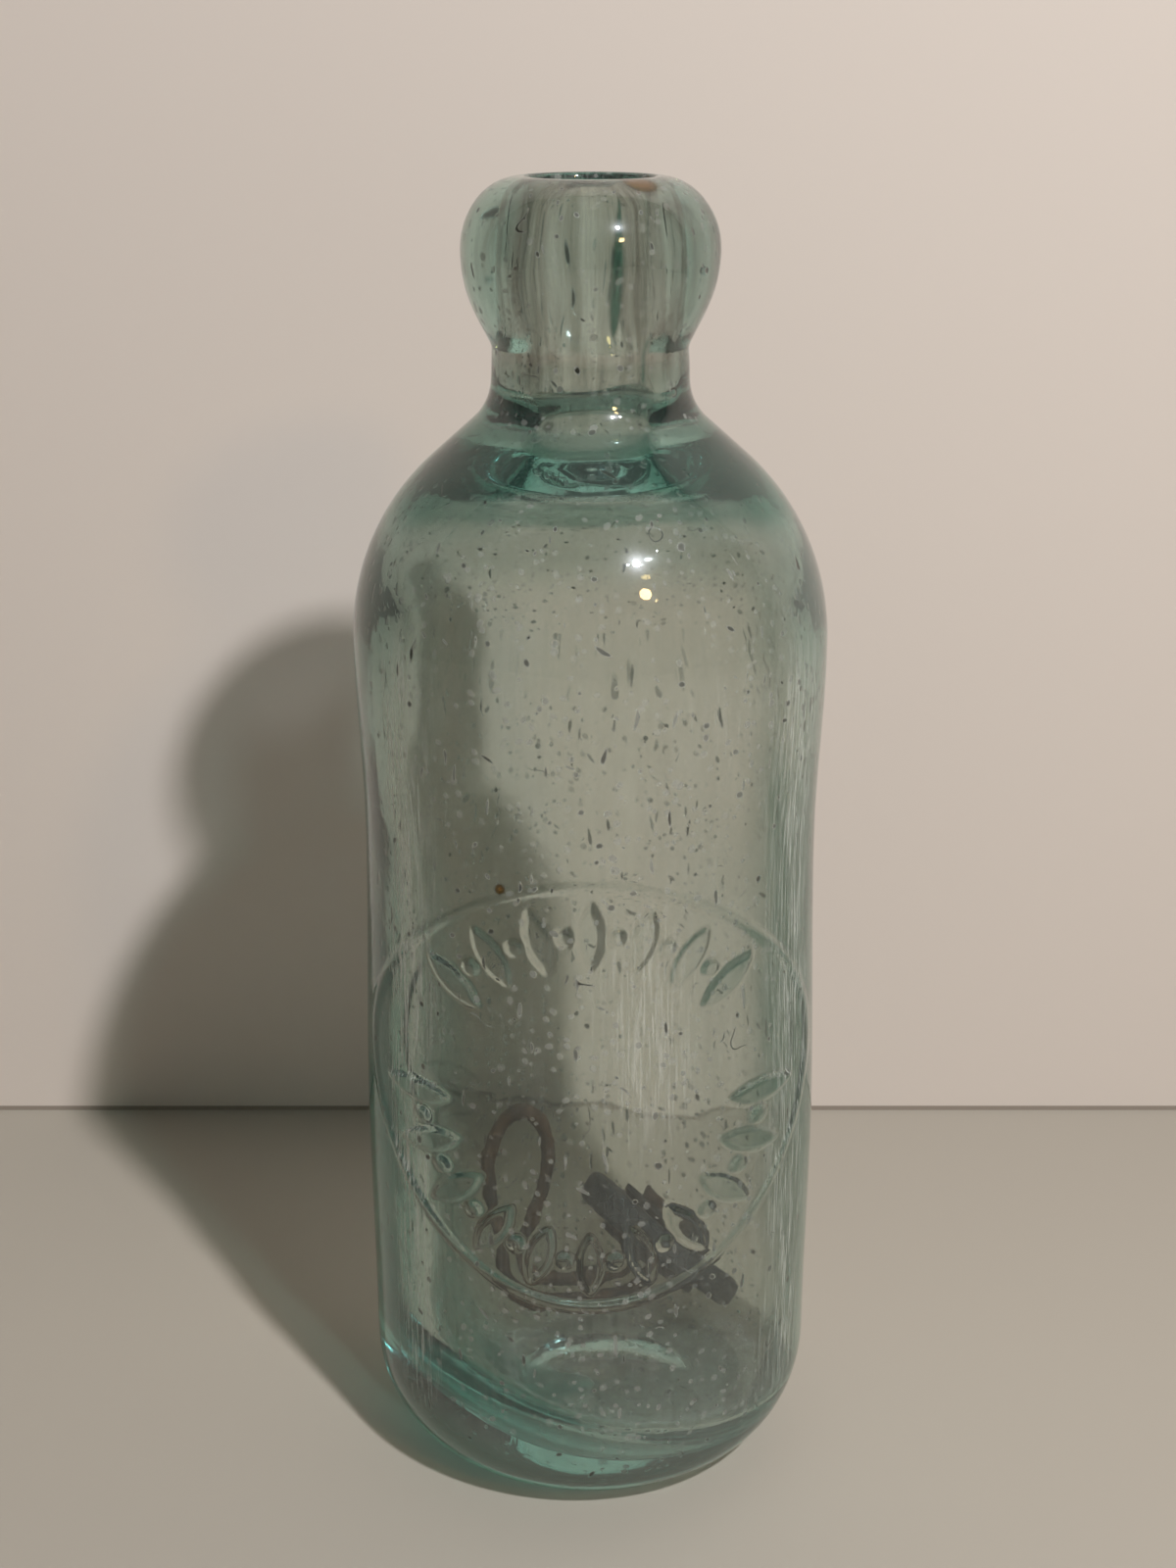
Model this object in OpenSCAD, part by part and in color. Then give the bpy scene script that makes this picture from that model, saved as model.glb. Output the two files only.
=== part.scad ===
// Blown soda bottle with a rounded blob lip, and its spring stopper lying loose inside.
// Origin: centre of the base, on the surface the bottle stands on. +Z is up, the raised plate faces -Y.

/* [Bottle] */
// Overall height
bottle_h = 178.6; // [176:0.2:184]
// Greatest diameter, at the shoulder
body_d = 63.5; // [60:0.5:68]
// Thickness of the glass in the body and shoulder
wall = 4.6; // [3.4:0.1:5.4]
// Height of the widest place of the shoulder
shoulder_z = 119.2; // [112:0.2:122]
// Radius of the round shoulder
shoulder_r = 31.9; // [29:0.1:34]
// How steeply the shoulder runs up to the neck, degrees
shoulder_slope = 48.7; // [44:0.1:52]
// Height of the waist above the plate
waist_z = 92.7; // [86:0.1:98]
// How far the waist is drawn in from the shoulder
waist_in = 0.85; // [0:0.05:1.5]
// Height of the belly below the waist
belly_z = 48.7; // [42:0.1:56]
// How far the belly is drawn in from the shoulder
belly_in = 0.05; // [0:0.01:0.6]

/* [Heel and base] */
// How far the top of the heel is drawn in from the shoulder
heel_in = 0.4; // [0:0.05:1.2]
// Height of the rounding of the heel
heel_h = 15.6; // [12:0.1:18]
// How far the rounding of the heel runs in
heel_run = 12.2; // [10:0.1:14]
// Height of the floor of the cavity
floor_z = 7; // [6:0.1:9]
// Inside radius of the heel
floor_round = 12; // [10:0.1:13]
// Radius of the pushed-up centre of the base
push_up_r = 15; // [11:0.1:17]
// Depth of the pushed-up centre of the base
push_up_h = 2; // [1:0.1:3]
// Lean of the cavity to one side, which leaves one heel thick, degrees
cavity_lean = 1; // [0:0.1:1.2]

/* [Neck and lip] */
// Diameter of the neck
neck_d = 25.9; // [24.5:0.1:28]
// Radius of the fillet between shoulder and neck
neck_fillet = 6.9; // [6:0.1:8]
// Height at which the lip swells out of the neck
lip_z = 157.4; // [156:0.1:160]
// Height of the widest place of the lip
blob_z = 169.5; // [167:0.1:171]
// Diameter of the blob lip
blob_d = 33.6; // [31:0.1:36]
// Bore of the neck
bore_d = 16; // [14.5:0.1:16.8]
// Rounding of the mouth
mouth_round = 0.7; // [0.5:0.1:2]
// Radius of the fillet inside the throat
throat_fillet = 6; // [5:0.1:7]

/* [Raised plate] */
// Radius of the raised ring
ring_r = 30; // [26:0.1:30]
// Width of the raised ring
ring_w = 0.9; // [0.6:0.1:1.4]
// Height of the centre of the ring
ring_z = 64.7; // [62:0.1:66]
// How far the ring and the ornament stand up
relief = 0.5; // [0.3:0.05:0.8]
// Radius of the row of motifs
row_r = 23; // [20:0.1:24]
// Length of a leaf
leaf_l = 8.6; // [7:0.1:9]
// Width of a leaf
leaf_w = 3; // [2:0.1:3.6]
// Diameter of a bead
bead_d = 2; // [1.4:0.1:2.4]
// Leaves in the upper row
upper_leaves = 7; // [5:1:9]
// Leaves in the lower row
lower_leaves = 11; // [9:1:13]
// Half of the arc of the upper row, degrees
upper_arc = 50; // [40:1:60]
// Half of the arc of the lower row, degrees
lower_arc = 84; // [70:1:88]

/* [Stopper] */
// Diameter of the spring wire
wire_d = 2.4; // [2:0.1:2.8]
// Gap between the two legs of the wire
leg_gap = 0.9; // [0.7:0.1:1.4]
// Length of the finger loop
loop_l = 20; // [18:0.5:23]
// Width of the finger loop
loop_w = 12; // [11:0.1:15]
// Diameter of the rubber gasket
gasket_d = 27.8; // [24:0.1:29]
// Thickness of the rubber gasket
gasket_t = 4.8; // [4:0.1:5.6]
// Rounding of the rim of the gasket
gasket_round = 1.4; // [0.8:0.1:1.8]
// Diameter of the plates above and below the gasket
plate_d = 16.8; // [14:0.1:19]
// Thickness of the sheet of the plates
plate_t = 0.8; // [0.6:0.05:1.2]
// Height of the turned rim of the plates
plate_rim = 0.7; // [0.4:0.05:1]
// Straight part of the legs, from the middle of the gasket
stem_l = 5.6; // [4.8:0.1:7]
// Radius of the first bend of the legs
bend_1 = 5.1; // [4:0.1:6]
// Straight part between the bends
stem_run = 10.7; // [9:0.1:11.5]
// Radius of the second bend of the legs
bend_2 = 4.9; // [4:0.1:6]
// Length of the clinched ends
clinch_l = 2.5; // [2:0.1:3]

// Lean of the finger loop towards the gasket, degrees
loop_tilt = 6; // [2:0.5:8]

/* [Stopper as it lies] */
// Slope of the gasket, degrees
gasket_slope = 39; // [35:1:43]
// Lean of the stopper against the back of the bottle, degrees
stopper_lean = 24; // [20:1:28]
// Turn of the stopper about the upright, its loop towards the front, degrees
stopper_turn = 5; // [2:1:6]
// How far the middle of the gasket lies to the right
gasket_x = 6.6; // [5.5:0.1:6.8]

/* [Hidden] */

// Gap under and behind the stopper where it lies on the glass
rest_gap = 0.3;
// Clearance round each leg in the holes of the plates and the gasket
leg_clear = 0.15;
// Overrun of every cut
overrun = 1;
// How deep a raised shape is rooted in the glass
root = 0.8;

// Half sizes that follow from the sizes above
body_r = body_d / 2;
neck_r = neck_d / 2;
blob_r = blob_d / 2;
bore_r = bore_d / 2;
// The top of the lip is rounded in from its widest place to the rounding of the mouth
lip_run = blob_r - bore_r - mouth_round;
wire_r = wire_d / 2;
waist_r = body_r - waist_in;
belly_r = body_r - belly_in;
heel_r = body_r - heel_in;
cavity_r = body_r - wall;
// Centre of the round of the shoulder, which the inner shoulder shares
shoulder_c = body_r - shoulder_r;
inner_shoulder_r = shoulder_r - wall;
// The throat's fillet stops short of the bore by this turn, so the bore cuts it cleanly, degrees
throat_stop = 20;
// How quickly the lip swells out of the neck: below 1 it swells sooner
swell_share = 0.61;

glass = [0.62, 0.76, 0.70, 0.45];
rust = [0.33, 0.24, 0.16];
tin = [0.24, 0.21, 0.18];
rubber = [0.10, 0.11, 0.12];

smooth_fn = 128;
small_fn = 48;
wire_sides = 12;

// Eased step from a to b as t runs from 0 to 1
function ease(a, b, t) = a + (b - a) * (1 - cos(180 * t)) / 2;

// Points of an arc about c, with both ends
function arc(c, r, from, to, n) =
    [for (i = [0 : n]) let (a = from + (to - from) * i / n) [c[0] + r * cos(a), c[1] + r * sin(a)]];

function reversed(list) = [for (i = [len(list) - 1 : -1 : 0]) list[i]];

// Points of an eased flank between two radii at two heights, without its first point
function flank(r0, z0, r1, z1, n, power = 1) =
    [for (i = [1 : n]) let (t = i / n) [ease(r0, r1, pow(t, power)), z0 + (z1 - z0) * t]];

// Height of the centre of a fillet of radius f that joins a slope to a straight bore or neck of radius r.
// The slope leaves the shoulder's round of radius big.
function fillet_z(r, f, big) =
    let (x = shoulder_c + big * cos(shoulder_slope), z = shoulder_z + big * sin(shoulder_slope))
    z + (f - (r + f - x) * cos(shoulder_slope)) / sin(shoulder_slope);

neck_fillet_z = fillet_z(neck_r, neck_fillet, shoulder_r);
throat_z = fillet_z(bore_r, throat_fillet, inner_shoulder_r);

// Outer surface of the body from the top of the heel to the widest place of the shoulder
function side_line(grow) = concat(
    [[heel_r + grow, heel_h]],
    flank(heel_r + grow, heel_h, belly_r + grow, belly_z, 6),
    flank(belly_r + grow, belly_z, waist_r + grow, waist_z, 8),
    flank(waist_r + grow, waist_z, body_r + grow, shoulder_z, 6));

// Whole outer outline, from the centre of the base to the mouth, where it turns down into the bore
function outer_line() = concat(
    [[0, 0], [heel_r - heel_run, 0]],
    [for (i = [1 : 9]) let (a = 90 * i / 10)
        [heel_r - heel_run + heel_run * sin(a), heel_h - heel_h * cos(a)]],
    side_line(0),
    arc([shoulder_c, shoulder_z], shoulder_r, shoulder_slope / 12, shoulder_slope, 11),
    arc([neck_r + neck_fillet, neck_fillet_z], neck_fillet, 180 + shoulder_slope, 180, 8),
    [[neck_r, lip_z]],
    flank(neck_r, lip_z, blob_r, blob_z, 10, swell_share),
    [for (i = [1 : 10]) let (a = 90 * i / 10)
        [blob_r - lip_run + lip_run * cos(a), blob_z + (bottle_h - blob_z) * sin(a)]],
    arc([bore_r + mouth_round, bottle_h - mouth_round], mouth_round, 108, 180, 4),
    [[0, bottle_h - mouth_round]]);

// Outline of the cavity below the bore
function cavity_line() = concat(
    [[0, floor_z]],
    arc([cavity_r - floor_round, floor_z + floor_round], floor_round, -90, 0, 9),
    arc([shoulder_c, shoulder_z], inner_shoulder_r, 0, shoulder_slope, 10),
    arc([bore_r + throat_fillet, throat_z], throat_fillet, 180 + shoulder_slope, 180 + throat_stop, 5),
    [[0, throat_z - throat_fillet * sin(throat_stop)]]);

// Everything that belongs to the leaning cavity is placed in its upright frame by this
module lean_with_cavity() {
    translate([0, 0, throat_z]) rotate([0, -cavity_lean, 0]) translate([0, 0, -throat_z]) children();
}

module bottle_blank() {
    rotate_extrude($fn = smooth_fn) polygon(outer_line());
}

module cavity() {
    lean_with_cavity() rotate_extrude($fn = smooth_fn) polygon(cavity_line());
    translate([0, 0, throat_z - throat_fillet])
        cylinder(r = bore_r, h = bottle_h - throat_z + throat_fillet + overrun, $fn = smooth_fn);
}

// Shallow dome that is taken out of the middle of the base
module push_up() {
    dome_r = (push_up_r * push_up_r + push_up_h * push_up_h) / (2 * push_up_h);
    translate([0, 0, push_up_h - dome_r]) sphere(r = dome_r, $fn = smooth_fn);
}

// A pointed leaf, long along Y
module leaf(l, w) {
    leaf_r = (l * l + w * w) / (4 * w);
    intersection() {
        translate([leaf_r - w / 2, 0]) circle(r = leaf_r, $fn = smooth_fn);
        translate([w / 2 - leaf_r, 0]) circle(r = leaf_r, $fn = smooth_fn);
    }
}

// A row of leaves on an arc about the middle of the plate, with a bead in each space
module leaf_row(count, half_arc, middle) {
    step = 2 * half_arc / (count - 1);
    for (i = [0 : count - 1])
        rotate(middle - 90 - half_arc + i * step) translate([0, row_r]) leaf(leaf_l, leaf_w);
    for (i = [0 : count - 2])
        rotate(middle - 90 - half_arc + (i + 0.5) * step)
            translate([0, row_r]) circle(d = bead_d, $fn = small_fn);
}

// Flat drawing of the raised ring and its ornament, about the middle of the plate
module plate_drawing() {
    difference() {
        circle(r = ring_r, $fn = smooth_fn);
        circle(r = ring_r - ring_w, $fn = smooth_fn);
    }
    leaf_row(upper_leaves, upper_arc, 90);
    leaf_row(lower_leaves, lower_arc, 270);
}

// The drawing pressed out of the front of the body, following its surface
module raised_plate() {
    intersection() {
        translate([0, 0, ring_z]) rotate([90, 0, 0]) linear_extrude(body_r + overrun) plate_drawing();
        rotate_extrude($fn = smooth_fn) polygon(concat(side_line(relief), reversed(side_line(-root))));
    }
}

module glass_body() {
    color(glass) difference() {
        union() {
            bottle_blank();
            raised_plate();
        }
        cavity();
        push_up();
    }
}

// The stopper is drawn in its own plane: x to the right, z up, the middle of the gasket at zero.
// Headings are turned from +x towards +z.
leg_x = (wire_d + leg_gap) / 2;
gasket_heading = 270 - gasket_slope;
first_turn = 90 - gasket_slope;
clinch_r = wire_r + leg_clear;
plate_face = gasket_t / 2 + plate_t;

function ahead(h) = [cos(h), sin(h)];
function aside(h) = [sin(h), -cos(h)];

bend_1_c = stem_l * ahead(gasket_heading) + bend_1 * aside(gasket_heading);
bend_1_end = bend_1_c - bend_1 * aside(180);
bend_2_c = bend_1_end + stem_run * ahead(180) + bend_2 * aside(180);
loop_heading = 90 - loop_tilt;
loop_start = bend_2_c - bend_2 * aside(loop_heading);

// One leg from its clinched end to the finger loop, on the side s of the middle line
function leg(s) = let (
        c = (leg_x + clinch_r) * s * aside(gasket_heading) - plate_face * ahead(gasket_heading))
    concat(
        [c - clinch_r * ahead(gasket_heading) + s * clinch_l * aside(gasket_heading)],
        [for (i = [0 : 4]) let (a = 90 - 90 * i / 4)
            c - clinch_r * sin(a) * ahead(gasket_heading) - s * clinch_r * cos(a) * aside(gasket_heading)],
        [for (i = [0 : 6])
            bend_1_c - (bend_1 - s * leg_x) * aside(gasket_heading - first_turn * i / 6)],
        [for (i = [0 : 8]) bend_2_c - (bend_2 - s * leg_x) * aside(180 - (180 - loop_heading) * i / 8)]);

// The finger loop is a teardrop, widest at this turn of the full turn from leg to leg
widest_at = 115.4;
function swell(a) = sin(a) * pow(abs(sin(a / 2)), 1.5);
function half_turn(a) = cos(a / 2) * abs(cos(a / 2));
loop_swell = (loop_w / 2 - wire_r - leg_x * half_turn(widest_at)) / swell(widest_at);
loop_steps = 48;
loop_route = [for (i = [1 : loop_steps - 1]) let (a = 360 * i / loop_steps)
    loop_start + (leg_x * half_turn(a) + loop_swell * swell(a)) * aside(loop_heading)
               + loop_l * (1 - cos(a)) / 2 * ahead(loop_heading)];

wire_route = concat(leg(1), loop_route, reversed(leg(-1)));
wire_last = len(wire_route) - 1;

// Unit direction across the route at point i, in the plane of the stopper
function across(i) = let (
        d = wire_route[min(i + 1, wire_last)] - wire_route[max(i - 1, 0)], u = d / norm(d))
    [-u[1], u[0]];
// Point j of the ring round the wire at point i of its route
function ring_point(i, j) = let (a = 360 * j / wire_sides, n = across(i))
    [wire_route[i][0] + wire_r * cos(a) * n[0], wire_r * sin(a), wire_route[i][1] + wire_r * cos(a) * n[1]];
wire_points = [for (i = [0 : wire_last]) for (j = [0 : wire_sides - 1]) ring_point(i, j)];

// Rounded rim of the gasket as [radius, height above the middle], from the lower face to the upper
rim_r = gasket_d / 2 - gasket_round;
rim_z = gasket_t / 2 - gasket_round;
gasket_rim = concat(arc([rim_r, -rim_z], gasket_round, -90, 0, 5), arc([rim_r, rim_z], gasket_round, 0, 90, 5));

// Points all over that rim, in the same plane frame
rim_steps = 36;
rim_points = [for (e = gasket_rim) for (j = [0 : rim_steps - 1]) let (a = 360 * j / rim_steps,
        p = e[0] * cos(a) * aside(gasket_heading) + e[1] * ahead(gasket_heading))
    [p[0], e[0] * sin(a), p[1]]];

// The stopper leans back about x, turns about the upright and is then set down: back until the loop meets
// the wall of the cavity, and down until the gasket meets the round of the heel, each with the rest gap
function leaned(p) = [
    p[0],
    p[1] * cos(stopper_lean) + p[2] * sin(stopper_lean),
    -p[1] * sin(stopper_lean) + p[2] * cos(stopper_lean)];
function turned(p) = [
    p[0] * cos(stopper_turn) - p[1] * sin(stopper_turn) + gasket_x,
    p[0] * sin(stopper_turn) + p[1] * cos(stopper_turn),
    p[2]];
stopper_points = [for (p = concat(wire_points, rim_points)) turned(leaned(p))];
stopper_y = min([for (p = stopper_points) sqrt(pow(cavity_r - rest_gap, 2) - p[0] * p[0]) - p[1]]);
flat_r = cavity_r - floor_round;
// Lowest height at radius r that keeps the rest gap from the floor and the round of the heel
function lowest_at(r) = floor_z + floor_round
    - sqrt(max(0, pow(floor_round - rest_gap, 2) - pow(max(0, r - flat_r), 2)));
stopper_z = max([for (p = stopper_points) lowest_at(norm([p[0], p[1] + stopper_y])) - p[2]]);

module stopper_plane() {
    lean_with_cavity() translate([gasket_x, stopper_y, stopper_z])
        rotate([0, 0, stopper_turn]) rotate([-stopper_lean, 0, 0]) children();
}

// Places a disc made along Z on the stopper's legs, with +Z towards the finger loop
module on_legs() {
    stopper_plane() rotate([0, 90 - gasket_heading, 0]) children();
}

// The two holes that the legs pass through
module leg_holes() {
    for (s = [-1, 1]) translate([s * leg_x, 0, -plate_face - plate_rim - overrun])
        cylinder(r = wire_r + leg_clear, h = 2 * (plate_face + plate_rim + overrun), $fn = small_fn);
}

module wire_loop() {
    ring_of = function (i) i * wire_sides;
    walls = [for (i = [0 : wire_last - 1]) for (j = [0 : wire_sides - 1]) let (k = (j + 1) % wire_sides)
        each [[ring_of(i) + j, ring_of(i + 1) + j, ring_of(i + 1) + k],
              [ring_of(i) + j, ring_of(i + 1) + k, ring_of(i) + k]]];
    ends = [[for (j = [0 : wire_sides - 1]) j],
            [for (j = [wire_sides - 1 : -1 : 0]) ring_of(wire_last) + j]];
    color(rust) stopper_plane() polyhedron(wire_points, concat(walls, ends));
}

// A pressed plate that lies on the gasket, with its rim turned away from the rubber
module pressed_plate() {
    difference() {
        translate([0, 0, gasket_t / 2]) rotate_extrude($fn = smooth_fn) polygon([
            [0, 0], [plate_d / 2 - plate_rim, 0], [plate_d / 2, plate_rim], [plate_d / 2, plate_rim + plate_t],
            [plate_d / 2 - plate_rim, plate_t], [0, plate_t]]);
        leg_holes();
    }
}

module upper_plate() {
    color(tin) on_legs() pressed_plate();
}

module lower_plate() {
    color(tin) on_legs() rotate([180, 0, 0]) pressed_plate();
}

module rubber_gasket() {
    color(rubber) on_legs() difference() {
        rotate_extrude($fn = smooth_fn)
            polygon(concat([[0, -gasket_t / 2]], gasket_rim, [[0, gasket_t / 2]]));
        leg_holes();
    }
}

glass_body();
wire_loop();
upper_plate();
rubber_gasket();
lower_plate();
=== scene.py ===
"""Looks of a spring-stopper soda bottle: mould-blown aqua glass with its rusty wire stopper lying inside.

Lengths in the classes of the bottle are millimetres and become metres where a mesh is filled. The bottle
stands on z = 0, its axis is the z axis, and its raised plate faces -y.
"""

from __future__ import annotations

import logging
import math
from dataclasses import dataclass, field
from enum import Enum
from typing import Iterable

import bpy
import numpy as np
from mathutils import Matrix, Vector

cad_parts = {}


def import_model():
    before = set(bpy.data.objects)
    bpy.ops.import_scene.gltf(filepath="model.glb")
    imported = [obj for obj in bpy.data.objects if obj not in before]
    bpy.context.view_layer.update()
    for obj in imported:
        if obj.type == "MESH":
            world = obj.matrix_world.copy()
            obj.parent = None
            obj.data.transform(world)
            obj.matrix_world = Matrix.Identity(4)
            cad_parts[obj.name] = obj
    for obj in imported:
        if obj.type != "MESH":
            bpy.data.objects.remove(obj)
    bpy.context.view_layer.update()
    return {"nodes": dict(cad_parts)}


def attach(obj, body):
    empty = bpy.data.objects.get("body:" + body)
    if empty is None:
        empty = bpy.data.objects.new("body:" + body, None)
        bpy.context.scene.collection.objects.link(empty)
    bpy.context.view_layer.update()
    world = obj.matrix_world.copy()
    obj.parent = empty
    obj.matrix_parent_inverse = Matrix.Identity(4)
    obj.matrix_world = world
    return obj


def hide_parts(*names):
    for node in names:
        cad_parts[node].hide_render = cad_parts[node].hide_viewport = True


log = logging.getLogger("bottle")

MM = 0.001
Array = np.ndarray
Tree = bpy.types.NodeTree
Socket = bpy.types.NodeSocket
Material = bpy.types.Material
Piece = bpy.types.Object
Pair = tuple[float, float]
Span = tuple[float, float, float, float]


class Side(Enum):
    """Which skin of the glass a vertex lies on, as the glass material reads it."""

    INSIDE = 0.0
    OUTSIDE = 1.0


def linear(hex_colour: str) -> tuple[float, float, float, float]:
    """Turns an sRGB hex colour into linear light.

    Args:
        hex_colour: six hex digits, such as "b7ada1".

    Returns:
        Red, green, blue and an alpha of 1, in linear light.
    """
    values = [int(hex_colour[i : i + 2], 16) / 255 for i in (0, 2, 4)]
    light = [v / 12.92 if v <= 0.04045 else ((v + 0.055) / 1.055) ** 2.4 for v in values]
    return (light[0], light[1], light[2], 1.0)


def ease(a: Array | float, b: Array | float, t: Array) -> Array:
    """Eased step from a to b: a plus the difference times half of one minus cosine of t half turns."""
    return a + (b - a) * (1 - np.cos(math.pi * t)) / 2


def smooth(t: Array) -> Array:
    """Clamps t to 0..1 and rounds both ends off with 3t^2 - 2t^3."""
    t = np.clip(t, 0, 1)
    return t * t * (3 - 2 * t)


def span(x: Array, start: float, rise: float, end: float, fall: float) -> Array:
    """1 in the middle of a span, 0 outside it, with a rounded rise from its start and fall to its end."""
    return smooth((x - start) / rise) * smooth((end - x) / fall)


def bell(x: Array, middle: float, half: float) -> Array:
    """Bell curve: 1 at the middle, and 1/e at half to either side."""
    return np.exp(-(((x - middle) / half) ** 2))


def turned(points: Array, axis: int, degrees: float) -> Array:
    """Turns points about an axis by the right-hand rule.

    Args:
        points: rows of x, y and z.
        axis: 0 for x, 1 for y and 2 for z.
        degrees: how far.

    Returns:
        The turned points.
    """
    i, j = (axis + 1) % 3, (axis + 2) % 3
    matrix = np.eye(3)
    matrix[i, i] = matrix[j, j] = math.cos(math.radians(degrees))
    matrix[i, j] = math.sin(math.radians(degrees))
    matrix[j, i] = -matrix[i, j]
    return points @ matrix


def arc(centre: Pair, radii: Pair, start: float, end: float, count: int) -> Array:
    """Points along an ellipse, at angles in degrees from the outward way towards up.

    Args:
        centre: radius and height of the centre.
        radii: half its width and half its height.
        start: first angle.
        end: last angle.
        count: number of points.

    Returns:
        Rows of radius and height.
    """
    a = np.radians(np.linspace(start, end, count))
    return np.stack([centre[0] + radii[0] * np.cos(a), centre[1] + radii[1] * np.sin(a)], -1)


def lengths(line: Array) -> Array:
    """Length along a line from its first point to each point."""
    return np.concatenate([[0], np.cumsum(np.linalg.norm(np.diff(line, axis=0), axis=1))])


@dataclass(frozen=True)
class Ripple:
    """Irregular ripple over a round surface, as blown glass has.

    It is a sum of waves, each a cosine in the angle round the axis times a cosine in the height, with whole
    numbers of waves to the turn, so that it closes on itself. Turns is the most waves in one turn. Pitch is
    the shortest length of a wave along the axis and depth how deep the ripple is, both in millimetres.
    """

    seed: int
    turns: int
    pitch: float
    depth: float
    count: int = 14
    longest: float = 3.5
    most_phase: float = 6.28
    level: float = 0.9

    def waves(self, angle: Array, height: Array) -> Array:
        """Adds the waves up.

        Args:
            angle: angle round the axis, radians.
            height: height along the axis, millimetres.

        Returns:
            Values from about -1 to 1.
        """
        rng = np.random.default_rng(self.seed)
        total = np.zeros(np.broadcast(angle, height).shape)
        for _ in range(self.count):
            k = rng.integers(1, self.turns + 1)
            m = 2 * math.pi / (self.pitch * rng.uniform(1, self.longest))
            around_axis = np.cos(k * angle + rng.uniform(0, self.most_phase))
            total += around_axis * np.cos(m * height + rng.uniform(0, self.most_phase))
        return total / math.sqrt(self.count) * self.level

    def taken(self, angle: Array, height: Array) -> Array:
        """What the ripple takes from the surface, 0 to its depth."""
        return self.depth * (1 - self.waves(angle, height)) / 2


def make_mesh(name: str, points: Array, faces: list[Array],
              attributes: dict[str, Array] | None = None) -> Piece:
    """Puts a surface into a new smooth-shaded object at the origin.

    Args:
        name: name of the object.
        points: vertices in millimetres, one row each.
        faces: arrays of vertex indices, each with one face a row, of three or four corners.
        attributes: values for each vertex, by name.

    Returns:
        The object, linked to the scene.
    """
    mesh = bpy.data.meshes.new(name)
    mesh.vertices.add(len(points))
    mesh.vertices.foreach_set("co", (points * MM).astype(np.float32).ravel())
    corners = np.concatenate([f.ravel() for f in faces]).astype(np.int32)
    sizes = np.concatenate([np.full(len(f), f.shape[1], np.int32) for f in faces])
    mesh.loops.add(len(corners))
    mesh.loops.foreach_set("vertex_index", corners)
    mesh.polygons.add(len(sizes))
    mesh.polygons.foreach_set("loop_start", np.concatenate([[0], np.cumsum(sizes)[:-1]]).astype(np.int32))
    mesh.update(calc_edges=True)
    mesh.validate()
    mesh.shade_smooth()
    for key, values in (attributes or {}).items():
        layer = mesh.attributes.new(key, "FLOAT", "POINT")
        layer.data.foreach_set("value", values.astype(np.float32).ravel())
    piece = bpy.data.objects.new(name, mesh)
    bpy.context.scene.collection.objects.link(piece)
    return piece


def sheet_faces(rows: int, columns: int, first: int = 0, wrap_rows: bool = False) -> Array:
    """Quads of a grid whose columns close on themselves.

    Args:
        rows: rows of vertices.
        columns: vertices in each row, which runs round and closes.
        first: index of the grid's first vertex.
        wrap_rows: whether the last row joins the first, as on a ring.

    Returns:
        One quad a row: this point, the next column, the same in the next row, back.
    """
    strips = rows if wrap_rows else rows - 1
    i, j = np.meshgrid(np.arange(strips), np.arange(columns), indexing="ij")
    up, on = (i + 1) % rows, (j + 1) % columns
    quads = np.stack([i * columns + j, i * columns + on, up * columns + on, up * columns + j], -1)
    return quads.reshape(-1, 4) + first


def fan_faces(centre: int, first: int, columns: int, flip: bool = False) -> Array:
    """Triangles from one centre vertex to a closed row of vertices.

    Args:
        centre: index of the centre vertex.
        first: index of the row's first vertex.
        columns: vertices in the row.
        flip: whether the triangles are turned over.

    Returns:
        One triangle a row.
    """
    j = np.arange(columns)
    on = (j + 1) % columns
    a, b = (on, j) if flip else (j, on)
    return np.stack([np.full(columns, centre), first + a, first + b], -1)


@dataclass(frozen=True)
class Grain:
    """A noise, stretched so that low gives 0 and high gives 1.

    Scale is the number of waves to the metre, detail the number of octaves above them, and roughness how
    strong these are. Along, where it is less than 1, draws the pattern out up and down. Least stands in for
    the 0 where the grain never fades out altogether.
    """

    scale: float
    detail: float
    roughness: float
    low: float
    high: float
    along: float = 1.0
    least: float = 0.0


@dataclass(frozen=True)
class Specks:
    """Scattered specks: the cores of a few cells of a Voronoi pattern, bent by a noise.

    Spacing is the size of a cell in millimetres, empty the share of the cells that stay empty, and size the
    radius of the largest speck as a share of its cell. Along is as for a grain. The least values are shares
    of the largest and of the darkest speck, and the bend and its waves are measured in cells.
    """

    spacing: float
    empty: float
    size: float
    along: float = 1.0
    least_size: float = 0.45
    least_dark: float = 0.55
    bend: float = 0.9
    bend_waves: float = 0.45
    edge: Pair = (1.15, 0.75)


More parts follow.
